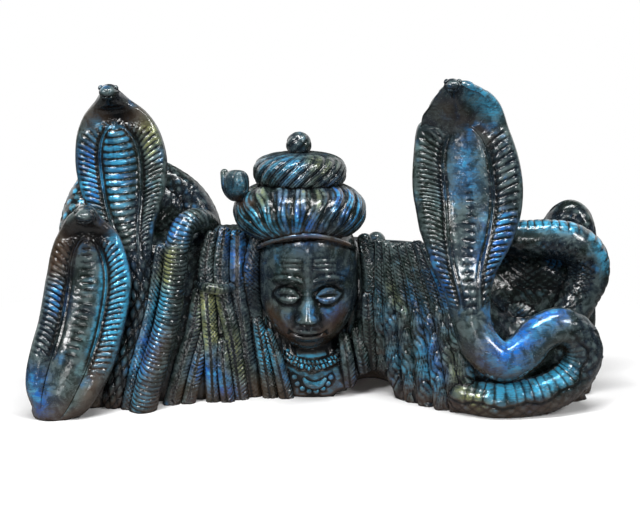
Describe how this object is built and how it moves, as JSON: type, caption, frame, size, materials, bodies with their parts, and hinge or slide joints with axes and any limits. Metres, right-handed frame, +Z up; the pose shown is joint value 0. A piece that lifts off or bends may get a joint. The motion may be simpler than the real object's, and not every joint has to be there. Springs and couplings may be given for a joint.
{
  "type": "shiva figure",
  "caption": "Carved stone Shiva head with matted hair, hair knots and hooded cobras, on its own flat underside.",
  "frame": {"origin": "on the flat underside, below the head", "axes": "+Z up, -Y the way the face looks, +X to the viewer's right along the length"},
  "size_m": [0.3109, 0.1049, 0.1746],
  "materials": {
    "stone": "polished dark green and black stone with blue, cyan and gold flashes"
  },
  "bodies": {
    "root": {"carving": "stone"}
  },
  "joints": []
}
